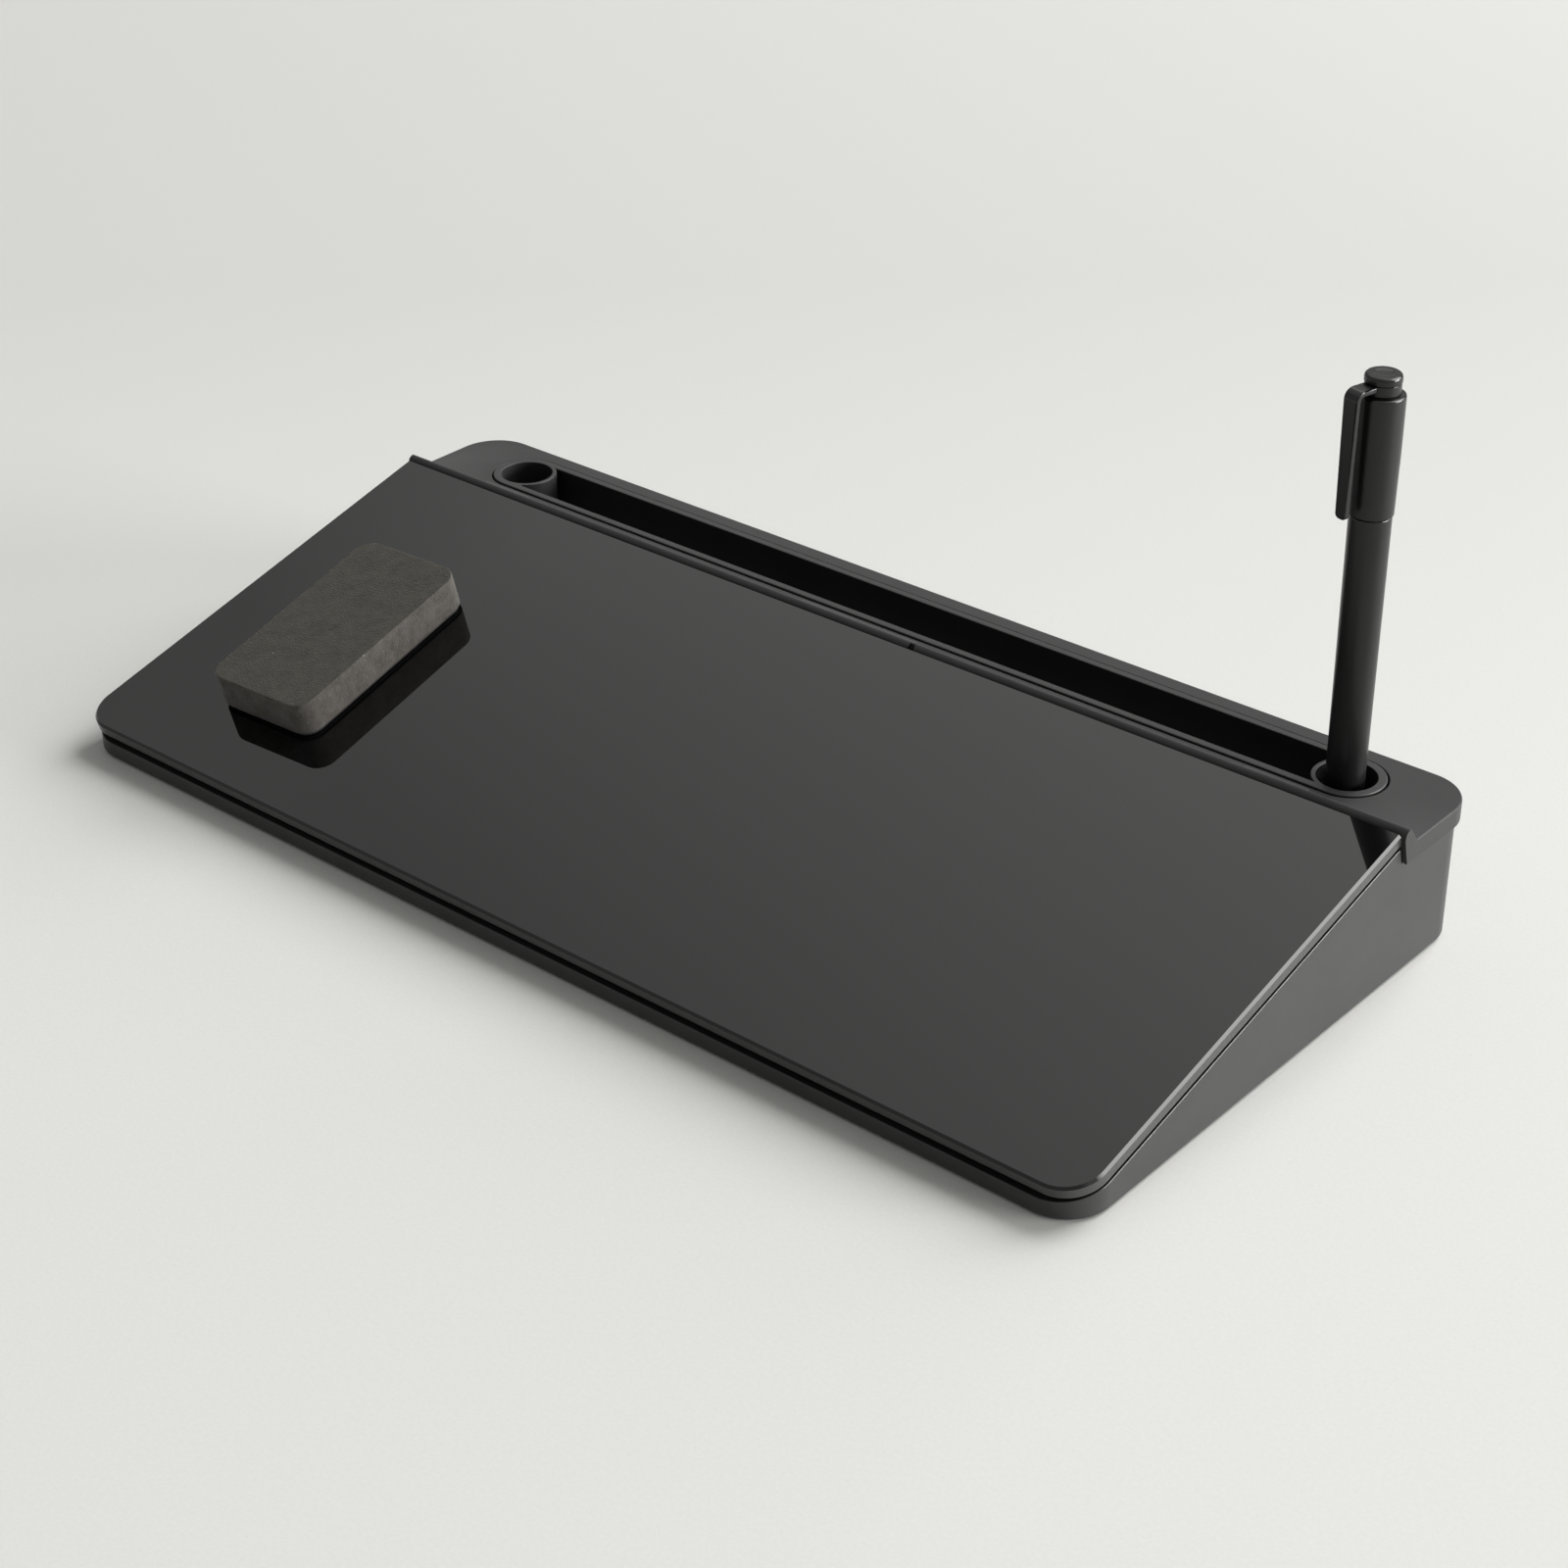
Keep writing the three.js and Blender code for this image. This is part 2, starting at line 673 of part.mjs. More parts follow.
function makeClip() {
  const bottom = penShoulder + seat;
  const top = collarTop - seat;
  const collar = turn([
    [penNeckRadius + seat, bottom],
    [clipCollarRadius, bottom],
    [clipCollarRadius, top],
    [penNeckRadius + seat, top],
    [penNeckRadius + seat, bottom],
  ], 28);
  const outer = -clipReach;
  const inner = outer + clipThickness;
  const root = overlap - clipCollarRadius;
  const tip = penCapStart + clipTip;
  const bend = [25, 55, 90].map((degrees) => {
    const angle = THREE.MathUtils.degToRad(degrees);
    const across = outer + clipBend * (1 - Math.sin(angle));
    return [across, top - clipBend * (1 - Math.cos(angle))];
  });
  const blade = drawOut([
    [root, bottom],
    [root, top],
    [outer + clipBend, top],
    ...bend,
    [outer, tip + clipTipEase],
    [outer + clipTipEase / 2, tip],
    [inner, tip],
    [inner, bottom - 2 * clipHeel],
    [inner + clipHeel, bottom],
  ], -clipWidth / 2, clipWidth / 2);
  return surface(solid(collar).add(solid(blade)));
}

function makeButton() {
  return turn([
    [0, collarTop + seat],
    [penButtonRadius - 0.3, collarTop + seat],
    [penButtonRadius, collarTop + 2 * seat],
    [penButtonRadius, penTotal - 0.6],
    [penButtonRadius - 0.7, penTotal],
    [0, penTotal],
  ], 36);
}

// Eraser: a foam block with a felt wiping pad, both with round upright corners
function eraserLayer(bottom, thickness, inset) {
  const [half, long] = [eraserWidth / 2 - inset, eraserLength / 2 - inset];
  const outline = roundedOutline(-half, -long, half, long, Array(4).fill(eraserCorner - inset));
  return raise(outline, bottom, bottom + thickness, 6);
}

// Assembly
const whiteboard = new THREE.Group();
whiteboard.add(mesh('base_shell', makeBase(), blackShell));
whiteboard.add(mesh('rear_cover', makeCover(), blackShell));
whiteboard.add(mesh('organiser_tray', makeInsert(), blackInsert));

feet.forEach(({ x, y }, index) => {
  const side = x < 0 ? 'left' : 'right';
  const end = index % 2 ? 'rear' : 'front';
  const foot = mesh(`foot_${end}_${side}`, rod(footRadius, 0, footThickness, 32), rubber);
  foot.position.set(x, y, 0);
  whiteboard.add(foot);
});

posts.forEach(({ x, y }, index) => {
  const screw = mesh(`cover_screw_${index + 1}`, makeScrew(), steel);
  screw.position.set(x, y, 0);
  whiteboard.add(screw);
});

const bumperY = baseFront + bumperInset;
const bumperTop = boardRearZ + (bumperY - bumperRadius - boardRearY) * Math.tan(slope)
  + carrierBottom / Math.cos(slope) - seat;
for (const [side, x] of [['left', -(baseHalf - bumperInset)], ['right', baseHalf - bumperInset]]) {
  const bumper = mesh(`lid_bumper_${side}`, rod(bumperRadius, floorTop + seat, bumperTop), rubber);
  bumper.position.set(x, bumperY, 0);
  whiteboard.add(bumper);
}

whiteboard.add(board);
board.add(mesh('glass_board', makeGlass(), blackGlass));
board.add(mesh('glass_tape', makeTape(), tapeFoam));
board.add(mesh('lid_carrier', makeCarrier(), innerPlastic));
['centre', 'left', 'right'].forEach((side, index) => {
  const { x, length } = knuckles[index];
  const from = x - length / 2 - pinGrip + running;
  const to = x + length / 2 + pinGrip - running;
  board.add(mesh(`hinge_pin_${side}`, alongX(rod(pinRadius, from, to, 16), hingeBack, -hingeDrop), steel));
});

const eraser = new THREE.Group();
eraser.position.set(-boardWidth / 2 + eraserFromLeft, -eraserFromRear, 0);
eraser.rotation.z = eraserTurn;
eraser.add(mesh('eraser_felt', eraserLayer(seat, feltThickness, feltInset), felt));
eraser.add(mesh('eraser_foam', eraserLayer(feltThickness + 2 * seat, foamThickness, 0), foam));
board.add(eraser);

const pen = new THREE.Group();
pen.position.set(cupSpacing / 2 - penOffCentre, cupY, insertFloorTop + seat);
pen.rotation.z = -clipTurn;
pen.add(mesh('pen_barrel', makeBarrel(), penPlastic));
pen.add(mesh('pen_end_plug', makePlug(), penPlastic));
pen.add(mesh('pen_ink_reservoir', makeReservoir(), penFelt));
pen.add(mesh('pen_nib_holder', makeHolder(), penPlastic));
pen.add(mesh('pen_nib', makeNib(), penFelt));
pen.add(mesh('pen_cap', makeCap(), penPlastic));
pen.add(mesh('pen_clip', makeClip(), penPlastic));
pen.add(mesh('pen_cap_button', makeButton(), penPlastic));
whiteboard.add(pen);

export default whiteboard;
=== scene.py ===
"""Desktop glass whiteboard: materials, detailed pieces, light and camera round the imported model."""

import math

import bmesh
import bpy
from mathutils import Matrix, Vector


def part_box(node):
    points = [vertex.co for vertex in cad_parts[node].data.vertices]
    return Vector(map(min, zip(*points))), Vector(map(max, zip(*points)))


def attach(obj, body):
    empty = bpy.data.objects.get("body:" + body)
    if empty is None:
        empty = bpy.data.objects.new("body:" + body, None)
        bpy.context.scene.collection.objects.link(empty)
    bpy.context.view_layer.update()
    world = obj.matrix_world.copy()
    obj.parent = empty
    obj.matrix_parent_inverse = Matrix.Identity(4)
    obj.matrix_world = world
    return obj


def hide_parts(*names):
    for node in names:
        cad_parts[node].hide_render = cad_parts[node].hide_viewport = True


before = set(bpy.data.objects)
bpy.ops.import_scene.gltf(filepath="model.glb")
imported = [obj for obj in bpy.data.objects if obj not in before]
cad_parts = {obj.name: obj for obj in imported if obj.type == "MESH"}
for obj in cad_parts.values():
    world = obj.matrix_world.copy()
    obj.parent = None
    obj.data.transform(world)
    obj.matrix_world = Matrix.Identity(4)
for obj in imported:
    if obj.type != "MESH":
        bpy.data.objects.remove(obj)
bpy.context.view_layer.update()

MM = 0.001
TOUCHING = 0.005 * MM
SQUARE_ON = 0.999

# Camera
IMAGE_PIXELS = 1600
FOCAL_PIXELS = 3137.65
SENSOR_MM = 36
CAMERA_AIM = Vector((0.0156, 0.00292, 0.020))
CAMERA_DISTANCE = 0.89745
CAMERA_AZIMUTH = math.radians(40.77)
CAMERA_ELEVATION = math.radians(30.07)
CAMERA_ROLL = math.radians(-0.5)

# Lamps, room light and floor, in metres. Directions point away from the part
LAMP_DISTANCE = 6.4
ROOM_LIGHT = 0.285
ROOM_TINT = (1.0, 1.0, 0.985)
FLOOR_SIZE = 4
FLOOR_FAR_SIDE = (-0.653, 0.757, 0)
# The floor is painted darker towards its far side as shade, over this span, down to this colour.
FLOOR_DARKENS_OVER = 0.45
FLOOR_FAR_PAINTED_SHADE = (0.59, 0.59, 0.567)
FLOOR_SPECKLES = (0.685, 0.685, 0.66), (0.72, 0.72, 0.695)

# The room in mirroring surfaces: its strengths, and the span of a direction where they change
BRIGHT_SIDE = (0.562, 0.827, 0)
SIDE_STRENGTHS, SIDE_SPAN = (0.74, 1.85), (-0.17, 0.20)
SKY_STRENGTHS, SKY_SPAN = (0.15, 1.0), (0.48, 0.68)
PANE_DIRECTION = (0.586, 0.527, 0.616)
PANE_STRENGTHS, PANE_SPAN = (0.42, 9.0), (0.82, 0.96)

# Base, cover and organiser insert
RIM_EASE = 0.25 * MM
RIM_SHORTEST_EDGE = 0.8 * MM
RIM_LEAN = (0.15, 0.97)
LEDGE_DEEPEST = 6 * MM
COVER_EASE = 0.35 * MM
TRAY_EASE = 0.3 * MM
TRAY_RISE = 0.4 * MM

# Glass board
SLOPE = math.radians(14.5)
GLASS_WIDTH = 381.6 * MM
GLASS_LENGTH = 147.4 * MM
GLASS_THICKNESS = 3.8 * MM
GLASS_CORNER = 11.5 * MM
GLASS_TOP_CHAMFER = 0.7 * MM
GLASS_LOW_CHAMFER = 0.3 * MM
GLASS_FRONT_REACH = 0.4 * MM
GLASS_REAR_REACH = 0.2 * MM
GLASS_OFF_CENTRE = Vector((-0.45 * MM, 0, 0))

# Eraser, heights from the glass up
ERASER_WIDTH = 40.5 * MM
ERASER_LENGTH = 73.2 * MM
ERASER_CORNER = 6 * MM
ERASER_TURN = math.radians(2.4)
ERASER_CENTRE = Vector((-GLASS_WIDTH / 2 + 55.85 * MM, -84.6 * MM, 0))
FELT_BOTTOM = 0.3 * MM
FELT_THICKNESS = 0.8 * MM
FELT_INSET = 0.8 * MM
FOAM_BOTTOM = 1.4 * MM
FOAM_THICKNESS = 11.3 * MM
FOAM_TOP_EASE = 0.5 * MM
FOAM_LOW_EASE = 0.35 * MM

# Marker pen, heights from its tail up
PEN_TUBE_START = 2 * MM
PEN_TAPER_START = 3 * MM
PEN_CAP_START = 102.3 * MM
PEN_SHOULDER = 136.3 * MM
PEN_TOTAL = 141.9 * MM
PEN_BARREL_RADIUS = 5.8 * MM
PEN_TAIL_RADIUS = 5.5 * MM
PEN_WALL = 1.1 * MM
PEN_SEAM = 0.3 * MM
PEN_FRONT_REACH = 6 * MM
PEN_FRONT_DEPTH = 4 * MM
PEN_SHOULDER_EASE = 0.45 * MM
PEN_RIM_EASE = 0.2 * MM

# Pen cap and its button
CAP_RADIUS = 6.4 * MM
CAP_MOUTH_RADIUS = 6.15 * MM
CAP_NECK_RADIUS = 3.9 * MM
CAP_WALL = 1 * MM
CAP_ROOF = 1.5 * MM
CAP_ROOF_SLANT = 1.5 * MM
CAP_SHOULDER_EASE = 0.6 * MM
CAP_MOUTH_EASE = 0.15 * MM
POLISHED_LEAN = (0.12, 0.97)
BUTTON_RADIUS = 5.05 * MM
BUTTON_HEIGHT = 2 * MM
BUTTON_RIM = 2.2 * MM
BUTTON_DISH = 0.2 * MM
BUTTON_DISH_SLANT = 0.5 * MM
BUTTON_TOP_ROUND = 1.0 * MM
BUTTON_EASE = 0.2 * MM

# Pen clip
CLIP_WIDTH = 5.0 * MM
CLIP_THICKNESS = 1.65 * MM
CLIP_REACH = 11.4 * MM
CLIP_COLLAR_RADIUS = 4.9 * MM
CLIP_COLLAR_EASE = 0.15 * MM
CLIP_ROOT = 0.5 * MM
CLIP_SEAT_GAP = 0.3 * MM
CLIP_BUTTON_GAP = 0.45 * MM
CLIP_BEND = 3 * MM
CLIP_TIP = 0.9 * MM
CLIP_TIP_ROUND = 1.4 * MM
CLIP_TAPER = 0.76
CLIP_EASE = 0.35 * MM
CLIP_TURN = math.radians(-15)


# Shading helpers


class Tree:
    """A node tree, with short ways to add the nodes that this scene uses."""

    def __init__(self, tree):
        self.nodes = tree.nodes
        self.links = tree.links

    def between(self, value, low, high, start=0.3, end=0.7):
        """value from start to end, spread between low and high."""
        node = self.nodes.new("ShaderNodeMapRange")
        node.inputs["From Min"].default_value = start
        node.inputs["From Max"].default_value = end
        node.inputs["To Min"].default_value = low
        node.inputs["To Max"].default_value = high
        self.links.new(value, node.inputs["Value"])
        return node.outputs["Result"]

    def along(self, place, direction):
        """How far a place or a direction reaches along another direction."""
        node = self.nodes.new("ShaderNodeVectorMath")
        node.operation = "DOT_PRODUCT"
        node.inputs[1].default_value = direction
        self.links.new(place, node.inputs[0])
        return node.outputs["Value"]

    def joined(self, operation, first, second):
        node = self.nodes.new("ShaderNodeMath")
        node.operation = operation
        self.links.new(first, node.inputs[0])
        self.links.new(second, node.inputs[1])
        return node.outputs["Value"]


class Look(Tree):
    """A material's nodes: a Principled surface and the object's own coordinates."""

    def __init__(self, name):
        self.material = bpy.data.materials.new(name)
        self.material.use_nodes = True
        super().__init__(self.material.node_tree)
        self.surface = self.nodes["Principled BSDF"]
        self.place = self.nodes.new("ShaderNodeTexCoord").outputs["Object"]

    def set(self, name, value):
        self.surface.inputs[name].default_value = value

    def noise(self, scale, detail=2.0, roughness=0.5):
        node = self.nodes.new("ShaderNodeTexNoise")
        node.inputs["Scale"].default_value = scale
        node.inputs["Detail"].default_value = detail
        node.inputs["Roughness"].default_value = roughness
        self.links.new(self.place, node.inputs["Vector"])
        return node.outputs["Fac"]

    def cells(self, scale):
        node = self.nodes.new("ShaderNodeTexVoronoi")
        node.inputs["Scale"].default_value = scale
        self.links.new(self.place, node.inputs["Vector"])
        return node.outputs["Distance"]

    def mix(self, value, first, second):
        """first where value is 0 and second where it is 1, each a colour or a socket."""
        node = self.nodes.new("ShaderNodeMix")
        node.data_type = "RGBA"
        for name, side in (("A", first), ("B", second)):
            if isinstance(side, tuple):
                node.inputs[name].default_value = (*side, 1)
            else:
                self.links.new(side, node.inputs[name])
        self.links.new(value, node.inputs["Factor"])
        return node.outputs["Result"]

    def mottled(self, noise, dark, light, start=0.3, end=0.7):
        """Two colours that run into each other with a noise."""
        return self.mix(self.between(noise, 0, 1, start, end), dark, light)

    def bump(self, height, strength, depth, under=None):
        node = self.nodes.new("ShaderNodeBump")
        node.inputs["Strength"].default_value = strength
        node.inputs["Distance"].default_value = depth
        self.links.new(height, node.inputs["Height"])
        if under is not None:
            self.links.new(under, node.inputs["Normal"])
        return node.outputs["Normal"]

    def use(self, **sockets):
        for name, output in sockets.items():
            self.links.new(output, self.surface.inputs[name.replace("_", " ").title()])


def grained_plastic(name, dark, light, roughness, gloss, grain=2600, grain_depth=0.02 * MM):
    """Moulded plastic between two greys, with a fine grain and a slightly uneven sheen."""
    look = Look(name)
    look.set("Specular IOR Level", gloss)
    unevenness = 0.03
    look.use(
        Base_Color=look.mottled(look.noise(45, 4), (dark,) * 3, (light,) * 3),
        Roughness=look.between(look.noise(60, 3), roughness - unevenness, roughness + unevenness),
        Normal=look.bump(look.noise(grain, 3, 0.6), 0.35, grain_depth),
    )
    return look.material


def make_glass_look(name, dark, light, roughness, smudges=0.012):
    """Black backed glass, wiped clean but for faint smudges."""
    look = Look(name)
    look.set("IOR", 1.5)
    look.use(
        Base_Color=look.mottled(look.noise(12, 3), dark, light),
        Roughness=look.between(look.noise(9, 5, 0.6), roughness, roughness + smudges),
    )
    return look.material


def make_foam_look(name, dark, light):
    """Grey-black eraser foam: fine open cells, slight mottling and a few pale specks of dust."""
    look = Look(name)
    look.set("Roughness", 0.95)
    look.set("Sheen Weight", 0.27)
    look.set("Sheen Roughness", 0.3)
    cells = look.cells(1900)
    body = look.mottled(look.noise(230, 5, 0.75), dark, light, 0.34, 0.66)
    middle = tuple((a + b) / 2 for a, b in zip(dark, light))
    pitted = look.mottled(cells, middle, body, 0.05, 0.3)
    coarse = look.bump(look.noise(260, 4, 0.6), 0.5, 0.25 * MM)
    look.use(
        Base_Color=look.mottled(look.noise(420, 1), pitted, (0.22, 0.22, 0.20), 0.80, 0.83),
        Normal=look.bump(cells, 0.7, 0.22 * MM, coarse),
    )
    return look.material


def make_fibre_look(name, dark, light, scale):
    """Pressed fibre, for the wiping felt, the foam tape and the inner parts of the pen."""
    look = Look(name)
    look.set("Roughness", 1.0)
    fibres = look.noise(scale, 6, 0.75)
    look.use(
        Base_Color=look.mottled(fibres, dark, light),
        Normal=look.bump(fibres, 0.8, 0.2 * MM),
    )
    return look.material


def make_steel_look():
    """Bright zinc-plated steel with fine wear."""
    look = Look("plated steel")
    look.set("Metallic", 1.0)
    look.use(
        Base_Color=look.mottled(look.noise(300, 3), (0.52, 0.53, 0.55), (0.62, 0.63, 0.64)),
        Roughness=look.between(look.noise(900, 4), 0.24, 0.38),
    )
    return look.material


# Materials. A plastic has its two greys, its roughness and its gloss

shell_plastic = grained_plastic("black shell plastic", 0.036, 0.041, 0.44, 0.28)
cover_plastic = grained_plastic("black cover plastic", 0.035, 0.040, 0.46, 0.19)
insert_plastic = grained_plastic(
    "black insert plastic", 0.029, 0.034, 0.40, 0.30, grain_depth=0.015 * MM
)
# The insert's walls are rougher, and painted darker than its top as shade, for the shade in its cups
# and trough.
insert_walls_painted_shade = grained_plastic(
    "insert walls painted dark as shade", 0.012, 0.015, 0.55, 0.22, grain_depth=0.015 * MM
)
pen_plastic = grained_plastic("black pen plastic", 0.005, 0.007, 0.32, 0.37, 1800, 0.003 * MM)
pen_edge = grained_plastic("polished pen edges", 0.005, 0.007, 0.11, 0.42, 1800, 0.001 * MM)
# A glossier copy of the shell plastic, put only on the rim bevel that faces the right-hand light, for
# a painted highlight.
rim_painted_highlight = grained_plastic("rubbed black rim", 0.036, 0.041, 0.22, 0.45, 2600, 0.004 * MM)
# The ledge under the glass is painted near black as shade, so that the gap under the glass reads
# dark.
ledge_painted_shade = grained_plastic("ledge painted black as shade", 0.004, 0.006, 0.75, 0.12, 2000, 0.02 * MM)
rubber = grained_plastic("black rubber", 0.018, 0.024, 0.8, 0.4, 1400, 0.03 * MM)
glass_face = make_glass_look(
    "black glass", (0.0025, 0.0025, 0.0027), (0.0032, 0.0032, 0.0034), 0.012
)
glass_edge = make_glass_look(
    "ground glass edge", (0.044, 0.046, 0.045), (0.050, 0.052, 0.051), 0.22
)
foam_skin = make_foam_look("grey eraser foam", (0.029, 0.029, 0.023), (0.056, 0.051, 0.042))
# The eraser's sides are painted lighter than its top, standing in for the light that falls on them
# from the side.
foam_sides_painted_light = make_foam_look("eraser foam sides painted lighter as lit", (0.042, 0.037, 0.030), (0.087, 0.080, 0.073))
eraser_felt = make_fibre_look("black felt", (0.008, 0.008, 0.008), (0.022, 0.021, 0.020), 1500)
pen_fibre = make_fibre_look("pen fibre", (0.010, 0.011, 0.013), (0.024, 0.026, 0.030), 1800)
tape_foam = make_fibre_look("black tape foam", (0.010, 0.010, 0.010), (0.020, 0.020, 0.020), 1100)
steel = make_steel_look()


# Modelling helpers


def board_place():
    """The frame of the glass: the middle of its rear top edge, y up the slope, z square to it."""
    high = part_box("glass_board")[1]
    rear = Vector((0, high.y - GLASS_THICKNESS * math.sin(SLOPE), high.z))
    return Matrix.Translation(rear) @ Matrix.Rotation(SLOPE, 4, "X")


BOARD = board_place()


def finish_piece(name, bm, materials, body, nodes, smooth=40, place=None):
    """Puts a modelled mesh into the scene as a piece that stands for CAD nodes of one body."""
    if place is not None:
        bmesh.ops.transform(bm, matrix=place, verts=bm.verts)
    bmesh.ops.recalc_face_normals(bm, faces=bm.faces)
    mesh = bpy.data.meshes.new(name)
    bm.to_mesh(mesh)
    bm.free()
    mesh.shade_smooth()
    mesh.set_sharp_from_angle(angle=math.radians(smooth))
    for material in materials:
        mesh.materials.append(material)
    piece = bpy.data.objects.new(name, mesh)
    bpy.context.scene.collection.objects.link(piece)
    weighted = piece.modifiers.new("even shading", "WEIGHTED_NORMAL")
    weighted.keep_sharp = True
    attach(piece, body)
    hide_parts(*nodes)
    return piece


def dress_faces(bm, index_of):
    """Gives each face the material index that index_of finds for it."""
    bm.normal_update()
    for face in bm.faces:
        face.material_index = index_of(face)


def bevel(bm, edges, width, segments=2):
    bmesh.ops.bevel(
        bm, geom=list(edges), offset=width, segments=segments, profile=0.5, affect="EDGES",
        clamp_overlap=True, material=-1,
    )


def folded(edge, angle=30):
    return len(edge.link_faces) == 2 and edge.calc_face_angle(0) > math.radians(angle)


def upright(edge):
    a, b = (vert.co for vert in edge.verts)
    return abs(a.z - b.z) > 0.5 * (a - b).length


def level_at(edge, height):
    return all(abs(vert.co.z - height) < TOUCHING for vert in edge.verts)


def block(width, length, bottom, top):
    """A plain block centred on the origin in plan."""
    bm = bmesh.new()
    size = Matrix.Diagonal((width, length, top - bottom, 1))
    bmesh.ops.create_cube(bm, size=1, matrix=Matrix.Translation((0, 0, (bottom + top) / 2)) @ size)
    return bm


def welded_copy(node):
    """A copy of a CAD node's mesh with its loose triangles joined into faces."""
    bm = bmesh.new()
    bm.from_mesh(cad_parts[node].data)
    bmesh.ops.remove_doubles(bm, verts=bm.verts, dist=0.002 * MM)
    bmesh.ops.dissolve_limit(bm, angle_limit=math.radians(0.3), verts=bm.verts, edges=bm.edges)
    return bm


def ease_top_edges(bm, height, width):
    """Rounds the edges where upright walls meet a level top."""
    bevel(bm, [edge for edge in bm.edges if level_at(edge, height) and folded(edge, 60)], width, 3)


# Moulded pieces


def make_shell():
    """The base: its upper rim eased below the glass, the rim's right-facing bevel glossed for a
    painted highlight, and the ledge inside it painted near black as shade.
    """
    bm = welded_copy("base_shell")
    to_board = BOARD.inverted()
    normal = (BOARD.to_3x3() @ Vector((0, 0, 1))).normalized()

    def faces_up(face):
        return face.normal.dot(normal) > SQUARE_ON

    def near_glass(place):
        return (to_board @ place).z > -LEDGE_DEEPEST

    def outer_rim(edge):
        if not folded(edge, 50) or edge.calc_length() < RIM_SHORTEST_EDGE:
            return False
        walls = [face for face in edge.link_faces if abs(face.normal.z) < 0.3]
        if sum(map(faces_up, edge.link_faces)) != 1 or len(walls) != 1:
            return False
        middle = (edge.verts[0].co + edge.verts[1].co) / 2
        outward = Vector((middle.x, middle.y, 0))
        return walls[0].normal.dot(outward) > 0 and near_glass(middle)

    def look_of(face):
        shell, ledge, rim = range(3)
        if not near_glass(face.calc_center_median()):
            return shell
        # The ledge faces up under the glass and is painted near black as shade.
        if faces_up(face):
            return ledge
        # Only the bevel facing the right-hand light gets the glossier copy, for a painted highlight.
        least, most = RIM_LEAN
        painted_highlight = least < face.normal.dot(normal) < most and face.normal.x > 0.1
        return rim if painted_highlight else shell

    bevel(bm, [edge for edge in bm.edges if outer_rim(edge)], RIM_EASE, 3)
    dress_faces(bm, look_of)
    finish_piece(
        "shell_moulding", bm, [shell_plastic, ledge_painted_shade, rim_painted_highlight], "base",
        ["base_shell"],
    )


def make_cover():
    """The rear cover with its bead."""
    bm = welded_copy("rear_cover")
    ease_top_edges(bm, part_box("organiser_tray")[1].z - TRAY_RISE, COVER_EASE)
    finish_piece("cover_moulding", bm, [cover_plastic], "base", ["rear_cover"], 50)


def make_tray():
    """The organiser insert, polished on top and matt down its walls, which are also painted darker as
    shade.
    """
    bm = welded_copy("organiser_tray")
    ease_top_edges(bm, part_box("organiser_tray")[1].z, TRAY_EASE)
    # Faces that don't look up get the walls painted darker as shade.
    dress_faces(bm, lambda face: 0 if face.normal.z > 0.3 else 1)
    finish_piece(
        "tray_moulding", bm, [insert_plastic, insert_walls_painted_shade], "base",
        ["organiser_tray"], 50,
    )


def make_carrier():
    """The carrier under the glass."""
    bm = welded_copy("lid_carrier")
    finish_piece("carrier_moulding", bm, [shell_plastic], "lid", ["lid_carrier"])


# Glass and eraser


def make_glass():
    """The black glass, taped down a little off centre: round front corners and chamfered edges."""
    length = GLASS_FRONT_REACH + GLASS_LENGTH + GLASS_REAR_REACH
    bm = block(GLASS_WIDTH, length, -GLASS_THICKNESS, 0)
    bmesh.ops.translate(bm, vec=(0, GLASS_REAR_REACH - length / 2, 0), verts=bm.verts)
    front = [edge for edge in bm.edges if upright(edge) and edge.verts[0].co.y < -GLASS_LENGTH / 2]
    bevel(bm, front, GLASS_CORNER, 16)
    for height, width in ((0, GLASS_TOP_CHAMFER), (-GLASS_THICKNESS, GLASS_LOW_CHAMFER)):
        around = [
            edge for edge in bm.edges
            if level_at(edge, height) and min(vert.co.y for vert in edge.verts) < 0
        ]
        bevel(bm, around, width, 1)
    dress_faces(bm, lambda face: 0 if face.normal.z > 0.5 or face.normal.z < -0.99 else 1)
    finish_piece(
        "glass_sheet", bm, [glass_face, glass_edge], "lid", ["glass_board"], 30,
        BOARD @ Matrix.Translation(GLASS_OFF_CENTRE),
    )


def make_eraser():
    """The foam block and the felt under it, cut with round upright corners."""
    place = BOARD @ Matrix.Translation(ERASER_CENTRE) @ Matrix.Rotation(ERASER_TURN, 4, "Z")
    top = FOAM_BOTTOM + FOAM_THICKNESS
    bm = block(ERASER_WIDTH, ERASER_LENGTH, FOAM_BOTTOM, top)
    bevel(bm, [edge for edge in bm.edges if upright(edge)], ERASER_CORNER, 8)
    for height, width in ((top, FOAM_TOP_EASE), (FOAM_BOTTOM, FOAM_LOW_EASE)):
        bevel(bm, [edge for edge in bm.edges if level_at(edge, height)], width, 2)
    # The top gets the plain foam, and the sides the foam painted lighter as lit.
    dress_faces(bm, lambda face: 0 if face.normal.z > 0.5 else 1)
    foam = finish_piece(
        "foam_block", bm, [foam_skin, foam_sides_painted_light], "eraser", ["eraser_foam"], 40, place
    )

    bm = block(
        ERASER_WIDTH - 2 * FELT_INSET, ERASER_LENGTH - 2 * FELT_INSET,
        FELT_BOTTOM, FELT_BOTTOM + FELT_THICKNESS,
    )
    bevel(bm, [edge for edge in bm.edges if upright(edge)], ERASER_CORNER - FELT_INSET, 8)
    finish_piece("felt_pad", bm, [eraser_felt], "eraser", ["eraser_felt"], 40, place)


# Marker pen


